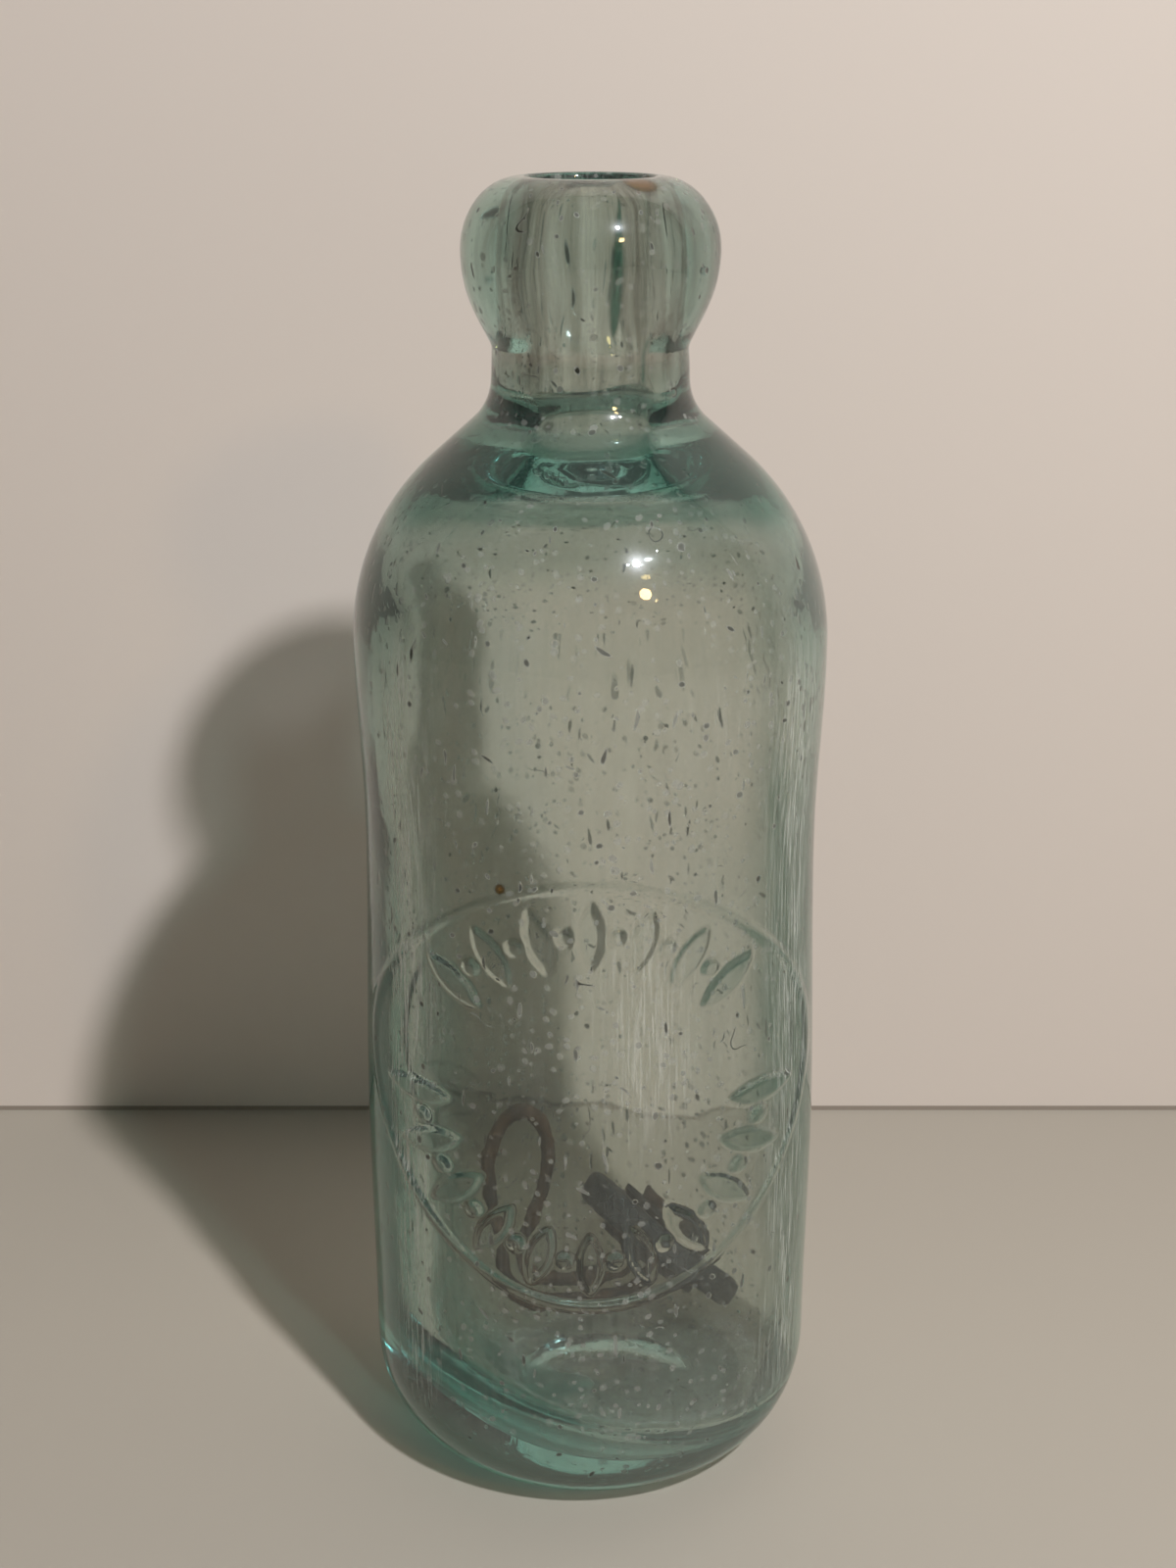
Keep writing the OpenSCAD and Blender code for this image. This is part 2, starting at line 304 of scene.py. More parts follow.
@dataclass(frozen=True)
class Nodes:
    """A tree of shader nodes, with a call for each step that the finishes share."""

    tree: Tree

    def add(self, kind: str, inputs: dict[str | int, object] | None = None, output: str | int | None = 0,
            **settings: object) -> Socket | None:
        """Adds one node.

        Args:
            kind: Blender's name of the node, without "ShaderNode".
            inputs: input name or index to its value or to the socket that feeds it.
            output: name or index of the output to return, if any.
            settings: properties of the node.

        Returns:
            The output.
        """
        node = self.tree.nodes.new("ShaderNode" + kind)
        for key, value in settings.items():
            setattr(node, key, value)
        for key, value in (inputs or {}).items():
            if isinstance(value, Socket):
                self.tree.links.new(value, node.inputs[key])
            else:
                node.inputs[key].default_value = value
        return None if output is None else node.outputs[output]

    def place(self) -> Socket:
        """The place on the object, metres."""
        return self.add("TexCoord", output="Object")

    def attribute(self, name: str) -> Socket:
        """A value that the mesh carries at its vertices."""
        return self.add("Attribute", output="Fac", attribute_name=name)

    def share(self, value: Socket, low: float, high: float, least: float = 0.0) -> Socket:
        """Stretches a value so that low gives least and high gives 1, clamped."""
        ends = {"Value": value, "From Min": low, "From Max": high, "To Min": least}
        return self.add("MapRange", ends, "Result")

    def towards(self, share: Socket, start: Socket | float, end: float) -> Socket:
        """Goes from start, where the share is 0, to end, where it is 1."""
        return self.add("MapRange", {"Value": share, "To Min": start, "To Max": end}, "Result")

    def math(self, operation: str, *terms: Socket | float) -> Socket:
        """One operation on sockets and numbers."""
        return self.add("Math", dict(enumerate(terms)), operation=operation)

    def times(self, a: Socket, b: Socket | float) -> Socket:
        """Product of two."""
        return self.math("MULTIPLY", a, b)

    def most(self, a: Socket, b: Socket) -> Socket:
        """The larger of two."""
        return self.math("MAXIMUM", a, b)

    def over(self, share: Socket, below: Socket | tuple[float, ...], hex_colour: str) -> Socket:
        """Lays a colour over another by a share."""
        return self.add("Mix", {0: share, 6: below, 7: linear(hex_colour)}, 2, data_type="RGBA")

    def noise(self, place: Socket, scale: float, detail: float, roughness: float = 0.5) -> Socket:
        """A noise, with its numbers as for a grain."""
        inputs = {"Vector": place, "Scale": scale, "Detail": detail, "Roughness": roughness}
        return self.add("TexNoise", inputs, "Fac")

    def drawn_out(self, place: Socket, along: float) -> Socket:
        """Coordinates in which patterns are drawn out up and down, more so the smaller the number."""
        return self.add("Mapping", {"Vector": place, "Scale": (1, 1, along)})

    def grain(self, place: Socket, grain: Grain) -> Socket:
        """Adds a grain.

        Args:
            place: the coordinates.
            grain: its numbers.

        Returns:
            A socket, from the least value to 1.
        """
        if grain.along != 1:
            place = self.drawn_out(place, grain.along)
        noise = self.noise(place, grain.scale, grain.detail, grain.roughness)
        return self.share(noise, grain.low, grain.high, grain.least)

    def bump(self, height: Socket, strength: float, metres: float) -> Socket:
        """A normal bent by a height."""
        return self.add("Bump", {"Height": height, "Strength": strength, "Distance": metres})

    def specks(self, place: Socket, specks: Specks) -> Socket:
        """Adds scattered specks.

        Args:
            place: the coordinates.
            specks: their numbers.

        Returns:
            A socket: from the least darkness to 1 inside the specks, and 0 outside.
        """
        cell = specks.spacing * MM
        waves = {"Vector": place, "Scale": specks.bend_waves / cell, "Detail": 1}
        bend = {0: self.add("TexNoise", waves, "Color"), 1: (specks.bend * cell,) * 3, 2: place}
        moved = self.drawn_out(self.add("VectorMath", bend, operation="MULTIPLY_ADD"), specks.along)
        core = self.add("TexVoronoi", {"Vector": moved, "Scale": 1 / cell})
        pick = self.add("SeparateColor", {"Color": core.node.outputs["Color"]}).node.outputs
        kept = self.math("GREATER_THAN", pick["Red"], specks.empty)
        reach = self.towards(pick["Green"], specks.size * specks.least_size, specks.size)
        inside = self.share(self.math("DIVIDE", core, reach), *specks.edge)
        return self.times(self.times(inside, kept), self.towards(pick["Blue"], specks.least_dark, 1.0))


def new_material(name: str) -> tuple[Material, Nodes]:
    """Makes an empty node material.

    Args:
        name: name of the material.

    Returns:
        The material and its nodes.
    """
    material = bpy.data.materials.new(name)
    material.use_nodes = True
    material.node_tree.nodes.clear()
    return material, Nodes(material.node_tree)


@dataclass(frozen=True)
class AquaGlass:
    """Aqua soda-lime glass: sand with a little iron in it, blown in a mould and fire-finished at the lip.

    The iron takes red light more than green and blue over the length of the path, so the thin walls look
    clear and the rims and the thick heel look teal. Darker teal is painted where the glass looks darkest
    (painted shade) and brighter teal where light comes out of it again (painted glow). A century of handling
    gave the outside pits, scratches and a scuffed haze, and the water that stood inside left a thin bloom.
    The clear values are how much light passes where each layer lies in full, and the edges are where a layer
    starts and where it is full.
    """

    ior: float = 1.52
    roughness: float = 0.02
    scuffed: float = 0.32
    bloom: float = 0.03
    coat: float = 0.10
    coat_roughness: float = 0.20
    absorbed_per_mm: tuple[float, float, float] = (0.0190, 0.0055, 0.0060)
    density: float = 60.0
    shade: float = 0.40
    wave_scale: float = 130.0
    wave_height: float = 0.35
    mark_depth: float = -0.25
    bump_strength: float = 0.35
    bump_metres: float = 0.0004
    clear_inside: float = 0.995
    clear_outside: float = 0.99
    clear_deep: float = 0.86
    clear_painted_glow: float = 0.50
    clear_veil: float = 0.30
    clear_mark: float = 0.22
    clear_rust: float = 0.25
    veil_hex: str = "dbddd2"
    scuff_hex: str = "dcded6"
    dirt_hex: str = "2e2f28"
    film_hex: str = "faf6f4"
    crust_hex: str = "99948a"
    # Dark teal of the painted shade and bright teal of the painted glow
    deep_hex: str = "4f7a6a"
    rim_hex: str = "669a8a"
    painted_glow_hex: str = "7ab5a3"
    grey_lip_side_hex: str = "867b72"
    fold_hex: str = "1c4a3a"
    stain_hex: str = "5f4012"
    scuff_grain: Grain = Grain(3000, 5, 0.66, 0.46, 0.62, along=0.035)
    patch_grain: Grain = Grain(48, 5, 0.6, 0.36, 0.74)
    streak_grain: Grain = Grain(430, 4, 0.62, 0.40, 0.66, along=0.07)
    cord_grain: Grain = Grain(330, 3, 0.55, 0.35, 0.65, along=0.16, least=0.35)
    gap_grain: Grain = Grain(140, 1, 0.5, 0.66, 0.70)
    grit: Specks = Specks(1.5, 0.35, 0.36)
    pits: Specks = Specks(2.6, 0.55, 0.19)
    ticks: Specks = Specks(1.9, 0.30, 0.16, along=0.2)
    tilted_ticks: Specks = Specks(2.4, 0.45, 0.12, along=0.2)
    tick_tilt: tuple[float, float, float] = (0.3, 0.9, 0.4)
    blots: Specks = Specks(9.0, 0.70, 0.10)
    hair_scale: float = 90.0
    hair_level: float = 0.53
    hair_edge: Pair = (0.005, 0.002)
    scuff_everywhere: float = 0.14
    haze: float = 0.03
    rim_edge: Pair = (0.42, 0.80)
    rust_edge: Pair = (0.25, 0.6)
    stain_edge: Pair = (0.02, 0.22)

    def hairlines(self, nodes: Nodes, place: Socket) -> Socket:
        """Hairline scratches along the level lines of a slow noise, broken up by another noise.

        Args:
            nodes: the material's nodes.
            place: the coordinates.

        Returns:
            A socket: 1 on the scratches.
        """
        off = nodes.math("SUBTRACT", nodes.noise(place, self.hair_scale, 2), self.hair_level)
        off = nodes.math("ABSOLUTE", off)
        return nodes.times(nodes.share(off, *self.hair_edge), nodes.grain(place, self.gap_grain))

    def marks(self, nodes: Nodes, place: Socket, patches: Socket) -> Socket:
        """Pits up to 0.6 mm across, ticks up to 2 mm long, a few larger blots of dirt, and hairlines.

        Args:
            nodes: the material's nodes.
            place: the coordinates.
            patches: where the grit is thick.

        Returns:
            A socket: 1 in the marks.
        """
        pit = nodes.most(nodes.times(nodes.specks(place, self.grit), patches), nodes.specks(place, self.pits))
        tilted = nodes.add("Mapping", {"Vector": place, "Rotation": self.tick_tilt})
        tick = nodes.most(nodes.specks(place, self.ticks), nodes.specks(tilted, self.tilted_ticks))
        blot = nodes.specks(place, self.blots)
        return nodes.most(nodes.most(pit, tick), nodes.most(blot, self.hairlines(nodes, place)))

    def make(self) -> Material:
        """Builds the glass with its haze, pits, scratches, rust stains, painted shade and painted glow.

        Returns:
            The material.
        """
        material, nodes = new_material("aqua_soda_lime_glass")
        place = nodes.place()
        skin, deep, painted_glow = nodes.attribute("skin"), nodes.attribute("deep"), nodes.attribute("painted_glow")
        rusty = nodes.attribute("rust")

        # Hands and crates rubbed scuffs into the side, upright, 0.3 mm wide and some millimetres long
        scuffs = nodes.grain(place, self.scuff_grain)
        patches = nodes.grain(place, self.patch_grain)
        rubbed = nodes.most(nodes.times(patches, self.scuff_everywhere), nodes.attribute("rub"))
        worn = nodes.times(nodes.times(scuffs, rubbed), skin)
        veil = nodes.times(nodes.math("MULTIPLY_ADD", patches, self.haze, worn), skin)
        veil = nodes.most(veil, nodes.attribute("tide"))
        mark = nodes.times(self.marks(nodes, place, patches), skin)

        clear = nodes.towards(skin, self.clear_inside, self.clear_outside)
        for share, end in (
            # Painted shade and painted glow make the glass less clear where they lie
            (deep, self.clear_deep),
            (painted_glow, self.clear_painted_glow),
            (veil, self.clear_veil),
            (mark, self.clear_mark),
            (nodes.share(rusty, *self.rust_edge), self.clear_rust),
        ):
            clear = nodes.towards(share, clear, end)
        rough = nodes.towards(veil, nodes.towards(skin, self.bloom, self.roughness), self.scuffed)

        # The water that stood inside left a film, which is thick and streaked down the bore
        streak = nodes.times(nodes.grain(place, self.streak_grain), nodes.attribute("crust"))
        # The left and right sides of the lip are painted grey, in uneven upright cords
        grey_lip_sides = nodes.times(nodes.attribute("grey_lip_sides"), nodes.grain(place, self.cord_grain))
        # Seen at a slant, the wall guides the light round the bottle, so its rims look teal
        slant = nodes.add("LayerWeight", {"Blend": 0.5}, "Facing")
        rim = nodes.times(nodes.share(slant, *self.rim_edge), nodes.attribute("guide"))
        colour = nodes.over(streak, linear(self.film_hex), self.crust_hex)
        for share, hex_colour in (
            (skin, self.veil_hex),
            (grey_lip_sides, self.grey_lip_side_hex),
            (rim, self.rim_hex),
            # Painted shade in dark teal and painted glow in bright teal
            (deep, self.deep_hex),
            (painted_glow, self.painted_glow_hex),
            (worn, self.scuff_hex),
            (nodes.attribute("fold"), self.fold_hex),
            (mark, self.dirt_hex),
            (nodes.share(rusty, *self.stain_edge), self.stain_hex),
        ):
            colour = nodes.over(share, colour, hex_colour)

        # The skin of blown glass is never quite flat: waves some 8 mm long and a few hundredths high
        hill = nodes.times(nodes.noise(place, self.wave_scale, 2), self.wave_height)
        relief = nodes.math("MULTIPLY_ADD", mark, self.mark_depth, hill)
        glass = nodes.add("BsdfPrincipled", {
            "Base Color": colour,
            "Roughness": rough,
            "Transmission Weight": clear,
            "Normal": nodes.bump(relief, self.bump_strength, self.bump_metres),
            "IOR": self.ior,
            "Coat Weight": self.coat,
            "Coat Roughness": self.coat_roughness,
        })
        # A lamp's light is let straight through in part, because the glass throws it on as bright patches
        passing = nodes.add("BsdfTransparent", {"Color": (self.shade, self.shade, self.shade, 1)})
        shadow_ray = nodes.add("LightPath", output="Is Shadow Ray")
        surface = nodes.add("MixShader", {0: shadow_ray, 1: glass, 2: passing})
        tint = [1 - a / MM / self.density for a in self.absorbed_per_mm]
        volume = nodes.add("VolumeAbsorption", {"Color": (*tint, 1), "Density": self.density})
        nodes.add("OutputMaterial", {"Surface": surface, "Volume": volume}, None)
        return material


@dataclass(frozen=True)
class RustedIron:
    """Plain iron or steel that has rusted through its whole skin: matt, crusted, brown to near black."""

    name: str
    light_hex: str
    dark_hex: str
    crust_mm: float
    roughness: float = 0.85
    bump_strength: float = 0.8
    bump_metres: float = 0.0003

    def make(self) -> Material:
        """Builds the rust with its crust.

        Returns:
            The material.
        """
        material, nodes = new_material(self.name)
        place, scale = nodes.place(), 1 / (self.crust_mm * MM)
        blotch = nodes.grain(place, Grain(scale / 5, 3, 0.5, 0.35, 0.65))
        surface = nodes.add("BsdfPrincipled", {
            "Base Color": nodes.over(blotch, linear(self.dark_hex), self.light_hex),
            "Normal": nodes.bump(nodes.noise(place, scale, 5, 0.65), self.bump_strength, self.bump_metres),
            "Roughness": self.roughness,
            "Metallic": 0.0,
        })
        nodes.add("OutputMaterial", {"Surface": surface}, None)
        return material


@dataclass(frozen=True)
class AgedRubber:
    """Vulcanised rubber gone hard: blue-black, matt, with a grey bloom and fine cracks."""

    body_hex: str = "14181b"
    bloom_hex: str = "2a2f31"
    bloom_grain: Grain = Grain(260, 4, 0.6, 0.4, 0.7)
    crack_scale: float = 700.0
    crack_edge: float = 0.08
    roughness: float = 0.6
    bump_strength: float = 0.5
    bump_metres: float = 0.0002

    def make(self) -> Material:
        """Builds the rubber with its bloom and cracks.

        Returns:
            The material.
        """
        material, nodes = new_material("aged_black_rubber")
        place = nodes.place()
        bloom = nodes.grain(place, self.bloom_grain)
        cells = {"Vector": place, "Scale": self.crack_scale}
        cracks = nodes.share(nodes.add("TexVoronoi", cells, feature="DISTANCE_TO_EDGE"), 0.0, self.crack_edge)
        surface = nodes.add("BsdfPrincipled", {
            "Base Color": nodes.over(bloom, linear(self.body_hex), self.bloom_hex),
            "Normal": nodes.bump(cracks, self.bump_strength, self.bump_metres),
            "Roughness": self.roughness,
        })
        nodes.add("OutputMaterial", {"Surface": surface}, None)
        return material


@dataclass(frozen=True)
class Painted:
    """Pale matt paint of the shelf and the wall, which belong to the setting, and dark matt paint for the
    painted shadow in their joint.
    """

    name: str
    colour_hex: str
    roughness: float = 0.7

    def make(self, one_sided: bool = False) -> Material:
        """Builds the paint.

        Args:
            one_sided: whether the sheet shows from its front only, so that the back views look past it.

        Returns:
            The material.
        """
        material, nodes = new_material(self.name)
        fixed = {"Base Color": linear(self.colour_hex), "Roughness": self.roughness}
        shader = nodes.add("BsdfPrincipled", fixed)
        if one_sided:
            behind = nodes.add("NewGeometry", output="Backfacing")
            shader = nodes.add("MixShader", {0: behind, 1: shader, 2: nodes.add("BsdfTransparent")})
        nodes.add("OutputMaterial", {"Surface": shader}, None)
        return material


ANYWHERE: Span = (-math.inf, 1.0, math.inf, 1.0)


@dataclass(frozen=True)
class Zone:
    """A zone of the glass where some wear or tint shows, fading out over its edges.

    Heights are millimetres. Turns are degrees from the front, more than 0 to the right, or their size alone
    on both sides. Around gives the middle turn and the half width of a zone that fades out as a bell curve.
    """

    amount: float
    heights: Span = ANYWHERE
    turns: Span = ANYWHERE
    around: Pair | None = None
    both_sides: bool = False

    def share(self, turn: Array, z: Array) -> Array:
        """How much shows at turns and heights.

        Args:
            turn: degrees from the front.
            z: height, millimetres.

        Returns:
            The share that shows.
        """
        side = np.abs(turn) if self.both_sides else turn
        total = self.amount * span(z, *self.heights) * span(side, *self.turns)
        return total * bell(turn, *self.around) if self.around else total


def below(end: float, fall: float) -> Span:
    """A span of all that lies below its end."""
    return (-math.inf, 1.0, end, fall)


def above(start: float, rise: float) -> Span:
    """A span of all that lies above its start."""
    return (start, rise, math.inf, 1.0)


SLOPE_OF_SHOULDER: Span = (140.6, 1.8, 149.2, 1.6)
MOST_OF_SIDE: Span = (8, 12, 128, 14)


@dataclass
class BottleGlass:
    """The glass: body, shoulder, neck and blob lip in one, with its raised plate and its leaning cavity.

    A name that ends in r or z is a radius or a height, one in turn is in degrees from the front. Stains are
    places with a radius. Of the zones, the dark ones are painted shade where the glass guides light along
    itself and looks darkest, with dark cords in the lip and the neck, the bright ones are painted glow where
    that light comes out again, guide is how teal the rims look, rub is how scuffed the skin is, and crust is
    how thick the film inside is.
    """

    height: float = 178.6
    body_r: float = 31.75
    wall: float = 4.6
    shoulder_z: float = 119.2
    shoulder_r: float = 31.9
    slope: float = 48.7
    waist_z: float = 92.7
    waist_in: float = 0.85
    belly_z: float = 48.7
    belly_in: float = 0.05
    heel_in: float = 0.4
    heel_h: float = 15.6
    heel_run: float = 12.2
    floor_z: float = 7.0
    floor_round: float = 12.0
    floor_swing: float = 7.0
    thick_at: float = -95.0
    push_up_r: float = 15.0
    push_up_h: float = 2.0
    cavity_lean: float = 1.0
    neck_r: float = 12.95
    neck_fillet: float = 6.9
    lip_z: float = 157.4
    blob_z: float = 169.5
    blob_r: float = 16.8
    bore_r: float = 8.0
    mouth_round: float = 0.7
    throat_fillet: float = 6.0
    inner_round: float = 15.4
    inner_round_z: float = 125.9
    ceiling: float = 74.0
    throat_round: float = 5.0
    swell_share: float = 0.61
    ring_r: float = 30.0
    ring_w: float = 0.9
    ring_z: float = 64.7
    ring_margin: float = 1.2
    relief: float = 0.45
    ring_share: float = 0.55
    row_r: float = 23.0
    leaf_l: float = 8.6
    leaf_w: float = 3.0
    bead_d: float = 2.0
    upper_leaves: int = 7
    lower_leaves: int = 11
    upper_arc: float = 50.0
    lower_arc: float = 84.0
    edge: float = 0.8
    centre_r: float = 1.5
    heel_front: Pair = (0.95, 0.8)
    side_ripple: Ripple = Ripple(11, 5, 26, 0.10)
    side_span: Span = (4, 14, 150, 10)
    lip_ripple: Ripple = Ripple(12, 7, 9, 0.32)
    lip_span: Span = (150, 8, 178, 4)
    cavity_ripple: Ripple = Ripple(21, 6, 14, 0.14)
    cavity_span: Span = (9, 12, 144, 14)
    bore_ripple: Ripple = Ripple(22, 5, 12, 0.22)
    bore_span: Span = (128, 14, 177, 5)
    lean_run: float = 8.0
    stains: tuple[tuple[float, ...], ...] = ((-11.5, -28.9, 93.3, 0.5), (6.0, -9.0, 178.0, 1.7))
    # Least and most painted shade on the ring, leaves and beads, and the turns over which it grows
    relief_painted_shade: Pair = (0.12, 0.57)
    raised_turn: Pair = (20, 50)
    # Heights and side shares of the grey painted on the lip's sides
    grey_lip_z: Span = (151, 5, 178, 3)
    grey_lip_side_share: Pair = (0.40, 0.60)
    tide_x: float = 4.4
    tide_r: float = 19.0
    tide_w: float = 0.9
    tide_ring: float = 0.28
    tide_film: float = 0.10
    fold_z: Pair = (160.5, 175.5)
    fold_turn: float = 20.0
    fold_width: float = 6.0
    fold_lean: float = 5.0
    fold_tip: float = 0.7
    front_turn: float = 72.0
    front_columns: int = 200
    back_columns: int = 64
    plate_rows: int = 170
    bore_rows: int = 56
    # Painted shade: dark teal where the glass looks darkest, and the dark cords
    deep: tuple[Zone, ...] = (
        # Painted shade on the slope of the shoulder over the level ceiling, clearer in front, and at the base
        # of the neck
        Zone(1.0, SLOPE_OF_SHOULDER),
        Zone(-0.25, SLOPE_OF_SHOULDER, around=(0, 20)),
        Zone(0.35, (151, 1.5, 155.5, 1.5)),
        # Painted shade on the thick side of the heel
        Zone(0.25, below(20, 12), around=(-60, 55)),
        # Painted shade on the shoulder and its slope, away from the front
        Zone(0.45, (112, 14, 148, 8), above(35, 25), both_sides=True),
        Zone(0.60, (134, 5, 148, 6), above(18, 14), both_sides=True),
        # Painted shade on both sides of the body, and on its right half
        Zone(0.55, (30, 30, 128, 12), (62, 12, 135, 25), both_sides=True),
        Zone(0.26, (14, 14, 112, 20), (12, 22, 140, 30)),
        Zone(0.30, (14, 14, 112, 20), (50, 20, 140, 30)),
        # Cords in the lip and in the neck
        Zone(0.45, above(168, 2), around=(-40, 5)),
        Zone(0.80, (153, 2, 161, 2), around=(31, 1.3)),
    )
    # Painted glow: bright teal where light guided along the glass comes out again
    painted_glow: tuple[tuple[Zone, ...], ...] = (
        # Painted glow on the heel, most on its thick side
        (
            Zone(0.70, below(20, 13), around=(-62, 48)),
            Zone(0.28, below(20, 13), below(100, 30), both_sides=True),
        ),
        # Painted glow on the left and the right side of the body
        (Zone(0.75, below(105, 60), (-135, 30, -60, 14)),),
        (Zone(0.30, below(100, 60), (64, 14, 135, 30)),),
        # Painted glow on the shoulder
        (Zone(0.22, (108, 16, 146, 8), above(48, 22), both_sides=True),),
    )
    # Most on the lower body, least on the lip
    guide: tuple[Zone, ...] = (Zone(0.25), Zone(0.45, below(140, 40)), Zone(0.30, below(80, 50)))
    rub: tuple[Zone, ...] = (
        # Left and right, where bottles touched in a crate, and in front
        Zone(1.0, MOST_OF_SIDE, around=(-52, 9)),
        Zone(0.8, MOST_OF_SIDE, around=(62, 12)),
        Zone(0.4, (52, 16, 104, 30), around=(14, 12)),
    )
    # A little everywhere, more on the floor and most in the bore
    crust: tuple[Zone, ...] = (Zone(0.12), Zone(0.7, above(142, 8)), Zone(0.3, below(26, 14)))

    def fillet_z(self, r: float, fillet: float, big: float) -> float:
        """Height of the centre of a fillet that joins the slope of the shoulder to an upright wall.

        Args:
            r: radius of the upright wall.
            fillet: radius of the fillet.
            big: radius of the shoulder's round, which the slope leaves.

        Returns:
            The height.
        """
        a = math.radians(self.slope)
        x = self.body_r - self.shoulder_r + big * math.cos(a)
        z = self.shoulder_z + big * math.sin(a)
        return z + (fillet - (r + fillet - x) * math.cos(a)) / math.sin(a)

    @property
    def cavity_r(self) -> float:
        """Radius of the cavity."""
        return self.body_r - self.wall

    @property
    def throat_z(self) -> float:
        """Height of the centre of the throat's fillet, about which the cavity leans."""
        return self.fillet_z(self.bore_r, self.throat_fillet, self.shoulder_r - self.wall)

    def side_r(self, z: Array) -> Array:
        """Radius of the side at a height: eased from heel to belly, belly to waist and waist to shoulder.

        Args:
            z: heights, millimetres.

        Returns:
            Radii, millimetres.
        """
        knots = [
            (self.heel_h, self.body_r - self.heel_in),
            (self.belly_z, self.body_r - self.belly_in),
            (self.waist_z, self.body_r - self.waist_in),
            (self.shoulder_z, self.body_r),
        ]
        r = np.full(z.shape, knots[0][1])
        for (z0, r0), (z1, r1) in zip(knots, knots[1:]):
            t = (z - z0) / (z1 - z0)
            r = np.where(t > 0, ease(r0, r1, np.clip(t, 0, 1)), r)
        return r

    def outer_line(self) -> Array:
        """Outline of the outer skin from near the middle of the base to the mouth.

        Returns:
            Rows of radius and height.
        """
        dome = (self.push_up_r**2 + self.push_up_h**2) / (2 * self.push_up_h)
        r = np.linspace(self.centre_r, self.push_up_r, 9)
        base = np.stack([r, np.sqrt(dome**2 - r**2) - dome + self.push_up_h], -1)
        heel_r = self.body_r - self.heel_in
        flat = np.stack([np.linspace(self.push_up_r + 1, heel_r - self.heel_run, 4), np.zeros(4)], -1)
        heel = arc((heel_r - self.heel_run, self.heel_h), (self.heel_run, self.heel_h), -85, -5, 17)
        half = self.ring_r + self.ring_margin
        plate_low, plate_high = self.ring_z - half, self.ring_z + half
        z = np.concatenate([
            np.linspace(self.heel_h, plate_low, 7)[:-1],
            np.linspace(plate_low, plate_high, self.plate_rows),
            np.linspace(plate_high, self.shoulder_z, 9)[1:],
        ])
        side = np.stack([self.side_r(z), z], -1)
        big, fillet = self.shoulder_r, self.neck_fillet
        shoulder = arc((self.body_r - big, self.shoulder_z), (big, big), 0, self.slope, 20)[1:]
        z0 = self.fillet_z(self.neck_r, fillet, big)
        turn = arc((self.neck_r + fillet, z0), (fillet, fillet), 180 + self.slope, 180, 10)
        t = np.linspace(0, 1, 4)[1:, None]
        slope = shoulder[-1] + (turn[0] - shoulder[-1]) * t[:-1]
        neck = turn[-1] + (np.array([self.neck_r, self.lip_z]) - turn[-1]) * t
        t = np.linspace(0, 1, 25)[1:]
        swell = np.stack([ease(self.neck_r, self.blob_r, t**self.swell_share),
                          self.lip_z + (self.blob_z - self.lip_z) * t], -1)
        edge = self.mouth_round
        run = self.blob_r - self.bore_r - edge
        top = arc((self.blob_r - run, self.blob_z), (run, self.height - self.blob_z), 0, 90, 15)[1:]
        mouth = arc((self.bore_r + edge, self.height - edge), (edge, edge), 90, 180, 6)[1:]
        return np.concatenate([base, flat, heel, side, shoulder, slope, turn, neck, swell, top, mouth])

    def inner_rows(self, angle: Array) -> tuple[Array, Array]:
        """Radii and heights of the inner skin, from just under the mouth to near the middle of the floor.

        The cavity runs down a straight bore, round the throat, along a nearly level ceiling, round the
        shoulder, down the side and round the heel to the floor. In front, the round of the heel has the
        middle radius plus a cosine of the angle, so that the glass is thicker on one side.

        Args:
            angle: angles of the columns from the front, radians.

        Returns:
            Radii and heights, each rows by columns.
        """
        big = self.inner_round
        shoulder = arc((self.cavity_r - big, self.inner_round_z), (big, big), self.ceiling, 0, 18)
        f, c = self.throat_round, math.radians(self.ceiling)
        meet_r = self.bore_r + f * (1 - math.cos(c))
        meet_z = shoulder[0, 1] + (shoulder[0, 0] - meet_r) / math.tan(c)
        throat = arc((self.bore_r + f, meet_z + f * math.sin(c)), (f, f), 180, 180 + self.ceiling, 9)
        z = np.linspace(self.height - self.mouth_round - 1.5, throat[0, 1] + 1, self.bore_rows)
        bore = np.stack([np.full(z.shape, self.bore_r), z], -1)
        t = np.linspace(0, 1, 5)[1:-1, None]
        slope = throat[-1] + (shoulder[0] - throat[-1]) * t
        top = np.concatenate([bore, throat, slope, shoulder])[:, :, None] + 0 * angle
        from_behind, run = self.heel_front
        front = smooth((from_behind + np.cos(angle)) / run)
        heel_r = self.floor_round + self.floor_swing * front * np.cos(angle - math.radians(self.thick_at))
        t = np.linspace(0, 1, 24)[1:-1, None]
        side_z = self.inner_round_z + (self.floor_z + heel_r - self.inner_round_z) * t
        a = np.radians(np.linspace(0, -90, 18))[:, None]
        heel = self.cavity_r - heel_r * (1 - np.cos(a)), self.floor_z + heel_r * (1 + np.sin(a))
        t = np.linspace(1, 0, 9)[1:, None]
        floor = self.centre_r + (self.cavity_r - heel_r - self.centre_r) * t
        r = np.concatenate([top[:, 0], np.full(side_z.shape, self.cavity_r), heel[0], floor])
        return r, np.concatenate([top[:, 1], side_z, heel[1], np.full(floor.shape, self.floor_z)])

